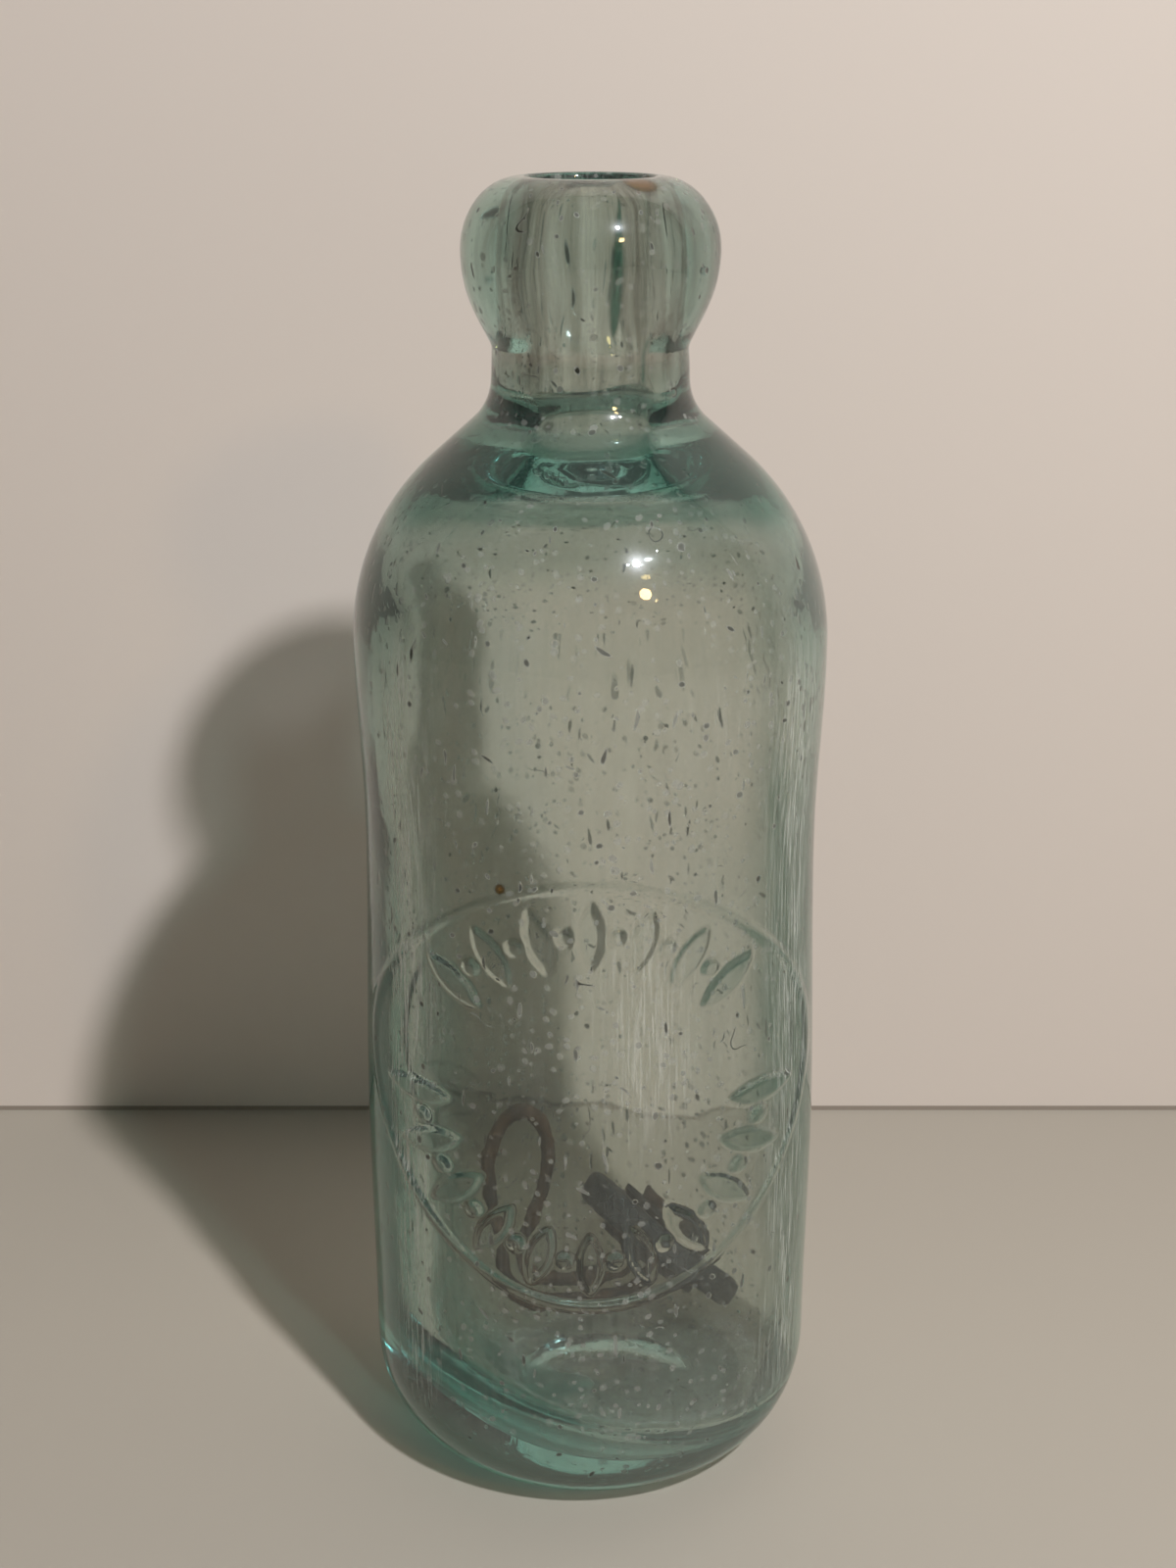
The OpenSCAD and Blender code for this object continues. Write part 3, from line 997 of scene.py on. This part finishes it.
    def plate_height(self, x: Array, z: Array) -> Array:
        """How far the raised ring, leaves and beads stand up at places on the front.

        Each shape is given by the distance to its outline, less than zero inside, and rises over the edge
        width with a rounded step. A leaf is the space that two circles share.

        Args:
            x: place to the right of the middle of the plate, millimetres.
            z: place above the middle of the plate, millimetres.

        Returns:
            Height above the plain side, millimetres.
        """
        rho = np.hypot(x, z)
        ring = np.abs(rho - self.ring_r + self.ring_w / 2) - self.ring_w / 2
        best = np.full(ring.shape, math.inf)
        leaf_r = (self.leaf_l**2 + self.leaf_w**2) / (4 * self.leaf_w)
        rows = ((self.upper_leaves, self.upper_arc, 90), (self.lower_leaves, self.lower_arc, 270))
        for count, half, middle in rows:
            step = 2 * half / (count - 1)
            for i in np.arange(0, count - 0.5, 0.5):
                a = math.radians(middle - half + i * step)
                out = x * math.cos(a) + z * math.sin(a) - self.row_r
                across = -x * math.sin(a) + z * math.cos(a)
                if i == int(i):
                    c = leaf_r - self.leaf_w / 2
                    shape = np.maximum(np.hypot(across - c, out), np.hypot(across + c, out)) - leaf_r
                else:
                    shape = np.hypot(across, out) - self.bead_d / 2
                best = np.minimum(best, shape)
        low = self.ring_share * smooth(0.5 - ring / self.edge)
        return self.relief * np.maximum(low, smooth(0.5 - best / self.edge))

    def outer_skin(self, line: Array, angle: Array) -> Array:
        """Points of the outer skin: the outline swung round, rippled inwards and raised on the plate.

        Args:
            line: rows of radius and height.
            angle: angles from the front, radians.

        Returns:
            Points, rows by columns by three.
        """
        r, z = line[:, :1], line[:, 1:]
        for ripple, part in ((self.side_ripple, self.side_span), (self.lip_ripple, self.lip_span)):
            r = r - span(z, *part) * ripple.taken(angle[None], z)
        x, y = r * np.sin(angle), -r * np.cos(angle)
        on_plate = (y < 0) & (np.abs(z - self.ring_z) < self.ring_r + self.ring_margin)
        r = r + np.where(on_plate, self.plate_height(x, z - self.ring_z + 0 * x), 0)
        return self.swung(r, z, angle)

    @staticmethod
    def swung(r: Array, z: Array, angle: Array) -> Array:
        """Points at radii and heights, swung round by angles from the front."""
        return np.stack([r * np.sin(angle), -r * np.cos(angle), np.broadcast_to(z, r.shape)], -1)

    def leaned(self, points: Array) -> Array:
        """Leans points about the throat, as the cavity leans."""
        pivot = np.array([0, 0, self.throat_z])
        return turned(points - pivot, 1, -self.cavity_lean) + pivot

    def inner_skin(self, angle: Array) -> Array:
        """Points of the inner skin: its rows swung round, rippled, and leaned about the throat.

        Args:
            angle: angles of the columns from the front, radians.

        Returns:
            Points, rows by columns by three.
        """
        r, z = self.inner_rows(angle)
        for ripple, part in ((self.cavity_ripple, self.cavity_span), (self.bore_ripple, self.bore_span)):
            r = r + ripple.depth * span(z, *part) * ripple.waves(angle[None], z)
        points = self.swung(r, z, angle)
        share = smooth((self.throat_z - points[..., 2:]) / self.lean_run + 0.5)
        return points + (self.leaned(points) - points) * share

    def angles(self) -> Array:
        """Angles of the columns from the front, close together over the plate and wider behind.

        Returns:
            Angles in radians, once round.
        """
        half = self.front_turn
        front = np.linspace(-half, half, self.front_columns, endpoint=False)
        back = np.linspace(half, 360 - half, self.back_columns, endpoint=False)
        return np.radians(np.concatenate([front, back]))

    def build(self) -> Piece:
        """Builds the closed skin of the glass: outer grid, seam at the mouth, inner grid of half the columns.

        Returns:
            The piece.
        """
        angle = self.angles()
        outer, inner = self.outer_skin(self.outer_line(), angle), self.inner_skin(angle[::2])
        n, m = len(angle), len(angle) // 2
        rows, inner_rows = len(outer), len(inner)
        start = rows * n
        base, floor = start + inner_rows * m, start + inner_rows * m + 1
        middles = np.array([[0, 0, self.push_up_h], self.leaned(np.array([0, 0, self.floor_z]))])
        points = np.concatenate([outer.reshape(-1, 3), inner.reshape(-1, 3), middles])
        last = (rows - 1) * n
        j = np.arange(m)
        a, b, c = last + 2 * j, last + 2 * j + 1, last + (2 * j + 2) % n
        p, q = start + j, start + (j + 1) % m
        seam = np.concatenate([np.stack(t, -1) for t in ((a, b, p), (b, q, p), (b, c, q))])
        faces = [
            sheet_faces(rows, n),
            sheet_faces(inner_rows, m, start),
            seam,
            fan_faces(base, 0, n, flip=True),
            fan_faces(floor, start + (inner_rows - 1) * m, m),
        ]
        skin = np.repeat([Side.OUTSIDE.value, Side.INSIDE.value] * 2, [rows * n, inner_rows * m, 1, 1])
        return make_mesh("blown_glass_bottle", points, faces, self.wear(points, skin))

    def wear(self, points: Array, skin: Array) -> dict[str, Array]:
        """Works out what the glass material reads at each vertex.

        Args:
            points: the vertices, millimetres.
            skin: which skin each of them lies on.

        Returns:
            Values from 0 to 1, by name.
        """
        # Painted shade of the zones and of the raised relief, with the dark cords, and painted glow below
        deep = self.zoned(points, self.deep) + self.raised(points)
        return {
            "skin": skin,
            "deep": skin * np.clip(deep, 0, 1),
            "painted_glow": skin * self.zoned(points, *self.painted_glow),
            "guide": skin * self.zoned(points, self.guide),
            "rub": skin * np.clip(self.zoned(points, self.rub), 0, 1),
            "rust": self.rusted(points),
            "crust": (1 - skin) * self.zoned(points, self.crust),
            "grey_lip_sides": skin * self.greyed_lip_sides(points),
            "tide": (1 - skin) * self.tide_line(points),
            "fold": (1 - skin) * self.folded(points),
        }

    def zoned(self, points: Array, *groups: tuple[Zone, ...]) -> Array:
        """Adds up the zones of each group, and takes the largest group at each point."""
        turn, z = self.turn_of(points), points[:, 2]
        return np.maximum.reduce([sum(zone.share(turn, z) for zone in group) for group in groups])

    @staticmethod
    def turn_of(points: Array) -> Array:
        """Turns of points from the front, degrees, more than 0 to the right."""
        return np.degrees(np.arctan2(points[:, 0], -points[:, 1]))

    def rusted(self, points: Array) -> Array:
        """Where rust from a closure has stained the glass: small spots on the side and on the lip.

        Args:
            points: the vertices, millimetres.

        Returns:
            Values from 0 to 1.
        """
        total = np.zeros(len(points))
        for *spot, r in self.stains:
            total += np.exp(-(((points - np.array(spot)) ** 2).sum(1) / r**2))
        return np.clip(total, 0, 1)

    def raised(self, points: Array) -> Array:
        """Painted shade on the ring, the leaves and the beads: darker towards the sides.

        Args:
            points: the vertices, millimetres.

        Returns:
            Values from 0 to 1.
        """
        up = self.plate_height(points[:, 0], points[:, 2] - self.ring_z) / self.relief
        (start, end), (least, most) = self.raised_turn, self.relief_painted_shade
        sides = smooth((np.abs(self.turn_of(points)) - start) / (end - start))
        return np.where(points[:, 1] < 0, up, 0) * (least + (most - least) * sides)

    def greyed_lip_sides(self, points: Array) -> Array:
        """How grey the left and right sides of the lip are painted.

        Args:
            points: the vertices, millimetres.

        Returns:
            Values from 0 to 1.
        """
        side = np.abs(points[:, 0]) / np.maximum(np.hypot(points[:, 0], points[:, 1]), 0.1)
        start, end = self.grey_lip_side_share
        return span(points[:, 2], *self.grey_lip_z) * smooth((side - start) / (end - start))

    def tide_line(self, points: Array) -> Array:
        """The ring that standing water left on the floor, and the faint film inside it.

        Args:
            points: the vertices, millimetres.

        Returns:
            Values from 0 to 1.
        """
        rho = np.hypot(points[:, 0] - self.tide_x, points[:, 1])
        low = smooth((self.floor_z + 4 - points[:, 2]) / 3)
        film = self.tide_film * smooth((self.tide_r - rho) / 2)
        return low * (self.tide_ring * bell(rho, self.tide_r, self.tide_w) + film)

    def folded(self, points: Array) -> Array:
        """The fold in the hot glass of the lip: a sliver, pointed at both ends, that hangs down the bore.

        Args:
            points: the vertices, millimetres.

        Returns:
            Values from 0 to 1.
        """
        low, high = self.fold_z
        t = np.clip((points[:, 2] - low) / (high - low), 0, 1)
        half = self.fold_width * np.sin(math.pi * t**self.fold_tip)
        across = np.abs(self.turn_of(points) - self.fold_turn - self.fold_lean * (t - 0.5))
        return smooth(1.5 - across / np.maximum(half, 0.01)) * (half > 0.4)

    def dress(self, piece: Piece, material: Material) -> None:
        """Gives the glass its finish and says what it stands for.

        Args:
            piece: the glass.
            material: its finish.
        """
        piece.data.materials.append(material)
        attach(piece, "bottle")
        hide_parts("glass_body")


@dataclass
class SpringStopper:
    """The stopper that fell in: a bent wire loop through two pressed plates with a rubber gasket between."""

    glass: BottleGlass
    wire_r: float = 1.2
    leg_gap: float = 0.9
    loop_l: float = 20.0
    loop_w: float = 12.0
    gasket_r: float = 13.9
    gasket_t: float = 4.8
    gasket_round: float = 1.4
    plate_t: float = 0.8
    stem_l: float = 5.6
    bend_1: float = 5.1
    stem_run: float = 10.7
    bend_2: float = 4.9
    clinch_l: float = 2.5
    loop_tilt: float = 6.0
    slope: float = 39.0
    lean: float = 24.0
    turn: float = 5.0
    x: float = 6.6
    rest_gap: float = 0.3
    leg_clear: float = 0.15
    widest_at: float = 115.4
    wire_rings: int = 420
    wire_sides: int = 20
    loop_swell: float = 1.5
    wire_rust: Ripple = Ripple(31, 3, 1.3, 0.12, 18)
    gasket_columns: int = 120
    slot_ends: float = 1.6
    rim_wear: Ripple = Ripple(42, 9, 3, 0.16)
    dish: Ripple = Ripple(41, 4, 8, 0.10)
    dish_from: float = 0.55
    place: Array = field(default_factory=lambda: np.zeros(3))

    @property
    def heading(self) -> float:
        """Heading of the legs at the gasket, in the stopper's plane, degrees from +x towards +z."""
        return 270 - self.slope

    @staticmethod
    def ahead(h: float) -> Array:
        """Unit step along a heading."""
        return np.array([math.cos(math.radians(h)), math.sin(math.radians(h))])

    @staticmethod
    def aside(h: float) -> Array:
        """Unit step to the right of a heading."""
        return np.array([math.sin(math.radians(h)), -math.cos(math.radians(h))])

    def route(self) -> Array:
        """Middle line of the wire in the stopper's plane, from one clinched end to the other.

        Each leg turns out of its clinch, through the gasket, round two bends and into the finger loop, which
        is a teardrop: its width is a sine of the turn times a power of the sine of half the turn.

        Returns:
            Rows of x and z.
        """
        leg_x = self.wire_r + self.leg_gap / 2
        h0, clinch, face = self.heading, self.wire_r + self.leg_clear, self.gasket_t / 2 + self.plate_t
        turn_1, loop_h = 90 - self.slope, 90 - self.loop_tilt
        ahead, aside = self.ahead, self.aside
        c1 = self.stem_l * ahead(h0) + self.bend_1 * aside(h0)
        c2 = c1 + self.stem_run * ahead(180) + (self.bend_2 - self.bend_1) * aside(180)
        start = c2 - self.bend_2 * aside(loop_h)

        def leg(s: int) -> list[Array]:
            """One leg, on the side s of the middle line."""
            c = (leg_x + clinch) * s * aside(h0) - face * ahead(h0)
            line = [c - clinch * ahead(h0) + s * self.clinch_l * aside(h0)]
            for a in np.radians(np.linspace(90, 0, 7)):
                line.append(c - clinch * (math.sin(a) * ahead(h0) + s * math.cos(a) * aside(h0)))
            r1, r2, turn_2 = self.bend_1 - s * leg_x, self.bend_2 - s * leg_x, 180 - loop_h
            line += [c1 - r1 * aside(h0 - turn_1 * t) for t in np.linspace(0, 1, 10)]
            line += [c2 - r2 * aside(180 - turn_2 * t) for t in np.linspace(0, 1, 12)]
            return line

        def half(a: Array) -> Array:
            """Cosine of half the turn times its size."""
            return np.cos(a / 2) * np.abs(np.cos(a / 2))

        def swell(a: Array) -> Array:
            """Sine of the turn times a power of the sine of half the turn."""
            return np.sin(a) * np.abs(np.sin(a / 2)) ** self.loop_swell

        w = math.radians(self.widest_at)
        share = (self.loop_w / 2 - self.wire_r - leg_x * half(w)) / swell(w)
        a = np.radians(np.linspace(0, 360, 73)[1:-1])[:, None]
        loop = start + (leg_x * half(a) + share * swell(a)) * aside(loop_h)
        loop = loop + self.loop_l * (1 - np.cos(a)) / 2 * ahead(loop_h)
        return np.concatenate([leg(1), loop, leg(-1)[::-1]])

    def wire_points(self, line: Array, sides: int, rust: Ripple | None = None) -> Array:
        """Rings of points round the wire's middle line, in the stopper's plane frame.

        Args:
            line: rows of x and z.
            sides: points in each ring.
            rust: what rust has taken from the radius.

        Returns:
            Points, rings by sides by three.
        """
        d = np.gradient(line, axis=0)
        d /= np.linalg.norm(d, axis=1, keepdims=True)
        n = np.stack([-d[:, 1], d[:, 0]], -1)
        a = np.linspace(0, 2 * math.pi, sides, endpoint=False)[None, :]
        r = self.wire_r - (rust.taken(a, lengths(line)[:, None]) if rust else 0 * a)
        x = line[:, :1] + r * np.cos(a) * n[:, :1]
        z = line[:, 1:] + r * np.cos(a) * n[:, 1:]
        return np.stack([x, r * np.sin(a) + 0 * x, z], -1)

    def gasket_rim(self) -> Array:
        """Rounded rim of the gasket, from the lower face up.

        Returns:
            Rows of radius and height.
        """
        edge = self.gasket_round
        low = arc((self.gasket_r - edge, edge - self.gasket_t / 2), (edge, edge), -90, 0, 6)
        return np.concatenate([low, low[::-1] * (1, -1)])

    def on_legs(self, points: Array) -> Array:
        """Places points made along z on the legs, in the stopper's plane frame."""
        return turned(points, 1, 90 - self.heading)

    def tipped(self, points: Array) -> Array:
        """Tips points of the stopper's plane frame back, and turns them about the upright."""
        return turned(turned(points, 0, -self.lean), 2, self.turn)

    def in_bottle(self, points: Array) -> Array:
        """Takes points from the stopper's plane frame to where it lies in the leaning cavity."""
        return self.glass.leaned(self.tipped(points) + self.place)

    def settle(self) -> None:
        """Sets the stopper back against the wall and down on the floor of the cavity, each with its gap."""
        rim = self.gasket_rim()
        a = np.linspace(0, 2 * math.pi, 36, endpoint=False)[None, :]
        disc = np.stack([rim[:, :1] * np.cos(a), rim[:, :1] * np.sin(a), rim[:, 1:] + 0 * a], -1)
        wire = self.wire_points(self.route(), 12).reshape(-1, 3)
        p = self.tipped(np.concatenate([wire, self.on_legs(disc.reshape(-1, 3))]))
        x = p[:, 0] + self.x
        y = np.min(np.sqrt((self.glass.cavity_r - self.rest_gap) ** 2 - x**2) - p[:, 1])
        f = self.glass.floor_round
        out = np.maximum(0, np.hypot(x, p[:, 1] + y) - (self.glass.cavity_r - f))
        low = self.glass.floor_z + f - np.sqrt(np.maximum(0, (f - self.rest_gap) ** 2 - out**2))
        self.place = np.array([self.x, y, np.max(low - p[:, 2])])

    def build_wire(self) -> Piece:
        """Builds the rusted wire: a round tube along the route, closed at both ends.

        Returns:
            The piece.
        """
        line = self.route()
        s = lengths(line)
        even = np.linspace(0, s[-1], self.wire_rings)
        line = np.stack([np.interp(even, s, line[:, k]) for k in (0, 1)], -1)
        for _ in range(3):
            line[1:-1] = (line[:-2] + 2 * line[1:-1] + line[2:]) / 4
        sides = self.wire_sides
        rings = self.wire_points(line, sides, self.wire_rust)
        ends = np.stack([rings[0].mean(0), rings[-1].mean(0)])
        points = self.in_bottle(np.concatenate([rings.reshape(-1, 3), ends]))
        count = len(line) * sides
        faces = [
            sheet_faces(len(line), sides)[:, ::-1],
            fan_faces(count, 0, sides),
            fan_faces(count + 1, count - sides, sides, flip=True),
        ]
        return make_mesh("rusty_wire_loop", points, faces)

    def build_gasket(self) -> Piece:
        """Builds the worn gasket: a ring-shaped grid round the slot that both legs pass through.

        Its section runs up the slot, out over the upper face, round the rim and back under. The outer part
        is shrunk and dished unevenly, as old rubber is.

        Returns:
            The piece.
        """
        columns = self.gasket_columns
        a = np.linspace(0, 2 * math.pi, columns, endpoint=False)
        way = np.stack([np.cos(a), np.sin(a)], -1)
        leg_x, hole = self.wire_r + self.leg_gap / 2, self.wire_r + self.leg_clear
        slot = hole * way + leg_x * np.clip(self.slot_ends * way, -1, 1) * (1, 0)
        half, flat_r = self.gasket_t / 2, self.gasket_r - self.gasket_round
        shares = np.linspace(0, 1, 8)[:-1]
        upper = [(slot + (flat_r * way - slot) * t, half) for t in shares]
        lower = [(xy, -z) for xy, z in upper[::-1]]
        rim = [(way * (r - self.rim_wear.taken(a, np.full(1, z)))[:, None], z)
               for r, z in self.gasket_rim()[::-1]]
        uneven = self.dish.depth * (1 + self.dish.waves(a, np.zeros(1))) / 2
        rows = []
        for xy, z in upper + rim + lower:
            outward = smooth(np.linalg.norm(xy, axis=1) / self.gasket_r - self.dish_from)
            rows.append(np.concatenate([xy, (z - np.sign(z) * outward * uneven)[:, None]], -1))
        points = self.in_bottle(self.on_legs(np.array(rows).reshape(-1, 3)))
        faces = [sheet_faces(len(rows), columns, wrap_rows=True)[:, ::-1]]
        return make_mesh("worn_rubber_gasket", points, faces)

    def dress(self, wire: Piece, gasket: Piece, nodes: dict[str, Piece]) -> None:
        """Gives the stopper's pieces their finishes and says what each stands for.

        Args:
            wire: the wire loop.
            gasket: the gasket.
            nodes: the CAD pieces, by name.
        """
        wire_finish = RustedIron("rusted_spring_wire", "442c16", "19120b", 0.9).make()
        plate_finish = RustedIron("rusted_tinned_plate", "3a332c", "1b1916", 0.7).make()
        rubber = AgedRubber().make()
        for piece, node, slot, finish in (
            (wire, "wire_loop", "rusty_wire", wire_finish),
            (gasket, "rubber_gasket", "aged_rubber", rubber),
        ):
            piece.data.materials.append(finish)
            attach(piece, "stopper")
            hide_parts(node)
        for name in ("upper_plate", "lower_plate"):
            for slot in nodes[name].material_slots:
                slot.material = plate_finish


@dataclass(frozen=True)
class Lamp:
    """A disk lamp: turn from the front and rise in degrees, size in metres and power in watts."""

    name: str
    turn: float
    rise: float
    size: float
    power: float
    hex_colour: str


@dataclass
class Studio:
    """The setting: a pale shelf and wall, lamps at the front right, and the camera. Lengths are metres."""

    reach: float = 0.9
    wall_y: float = 0.098
    joint_gap: float = 0.0001
    joint_h: float = 0.0007
    camera_at: tuple[float, float, float] = (-0.0003, -0.2953, 0.1949)
    camera_pitch: float = 18.2
    lens: float = 52.0
    sensor: float = 36.0
    clip_start: float = 0.01
    lamps: tuple[Lamp, ...] = (
        Lamp("key", 28.5, 45.0, 0.040, 7.3, "f3f6fe"),
        Lamp("bulb", 28.5, 31.0, 0.070, 0.60, "ffd690"),
    )
    lamp_distance: float = 0.8
    aim_z: float = 0.09
    fill_strength: float = 0.08
    fill_hex: str = "ece2d6"
    shelf_gap: float = 0.0002

    def upright(self, y: float, low: float, high: float) -> list[tuple[float, float, float]]:
        """Corners of an upright sheet that faces the camera."""
        return [(-self.reach, y, low), (self.reach, y, low), (self.reach, y, high), (-self.reach, y, high)]

    def build_sheets(self) -> None:
        """Makes the shelf, the wall behind the bottle and a dark strip painted as the shadow in the joint
        between the two.
        """
        shelf = Painted("pale_shelf_paint", "aca496").make()
        wall = Painted("pale_wall_paint", "cfc4b8").make(one_sided=True)
        # A dark strip at the foot of the wall is painted shadow, standing for the shade in the joint
        joint = Painted("painted_joint_shadow", "8e8376").make(one_sided=True)
        w, low, near = self.reach, -self.shelf_gap, self.wall_y - self.joint_gap
        spots = {
            "shelf": ([(-w, -w, low), (w, -w, low), (w, w, low), (-w, w, low)], shelf),
            "joint": (self.upright(near, low, self.joint_h), joint),
            "wall": (self.upright(self.wall_y, low, w), wall),
        }
        for name, (corners, material) in spots.items():
            piece = make_mesh(name, np.array(corners) / MM, [np.array([[0, 1, 2, 3]])])
            piece.data.materials.append(material)

    def build_lights(self) -> None:
        """Makes the lamps, each a small disk on a ray from the bottle, and the even fill of the room."""
        scene = bpy.context.scene
        for lamp in self.lamps:
            data = bpy.data.lights.new(lamp.name, "AREA")
            data.shape, data.size, data.energy = "DISK", lamp.size, lamp.power
            data.color = linear(lamp.hex_colour)[:3]
            a, b = math.radians(lamp.turn), math.radians(lamp.rise)
            way = np.array([math.sin(a) * math.cos(b), -math.cos(a) * math.cos(b), math.sin(b)])
            holder = bpy.data.objects.new(lamp.name, data)
            holder.location = way * self.lamp_distance + np.array([0, 0, self.aim_z])
            holder.rotation_mode = "QUATERNION"
            holder.rotation_quaternion = Vector(way).to_track_quat("Z", "Y")
            scene.collection.objects.link(holder)
        world = bpy.data.worlds.new("room")
        world.use_nodes = True
        world.node_tree.nodes.clear()
        nodes = Nodes(world.node_tree)
        fixed = {"Color": linear(self.fill_hex), "Strength": self.fill_strength}
        nodes.add("OutputWorld", {"Surface": nodes.add("Background", fixed)}, None)
        scene.world = world

    def build_camera(self) -> None:
        """Makes the camera where the photograph was taken from."""
        data = bpy.data.cameras.new("photo")
        data.sensor_width, data.lens = self.sensor, self.lens
        data.clip_start = self.clip_start
        camera = bpy.data.objects.new("photo", data)
        camera.location = self.camera_at
        camera.rotation_euler = (math.radians(90 - self.camera_pitch), 0, 0)
        bpy.context.scene.collection.objects.link(camera)
        bpy.context.scene.camera = camera
        bpy.context.scene.view_settings.view_transform = "Standard"


def corners(box: Iterable[Iterable[float]]) -> list[list[float]]:
    """A box as plain lists of numbers."""
    return [[round(float(v), 6) for v in corner] for corner in box]


def main() -> None:
    """Builds the setting, the glass and the stopper."""
    logging.basicConfig(level=logging.INFO, format="%(name)s: %(message)s")
    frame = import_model()
    studio = Studio()
    studio.build_camera()
    studio.build_sheets()
    studio.build_lights()

    glass = BottleGlass()
    bottle = glass.build()
    glass.dress(bottle, AquaGlass().make())
    log.info("glass: %d vertices, %d faces", len(bottle.data.vertices), len(bottle.data.polygons))

    stopper = SpringStopper(glass)
    stopper.settle()
    wire, gasket = stopper.build_wire(), stopper.build_gasket()
    stopper.dress(wire, gasket, frame["nodes"])


if __name__ == "__main__":
    main()
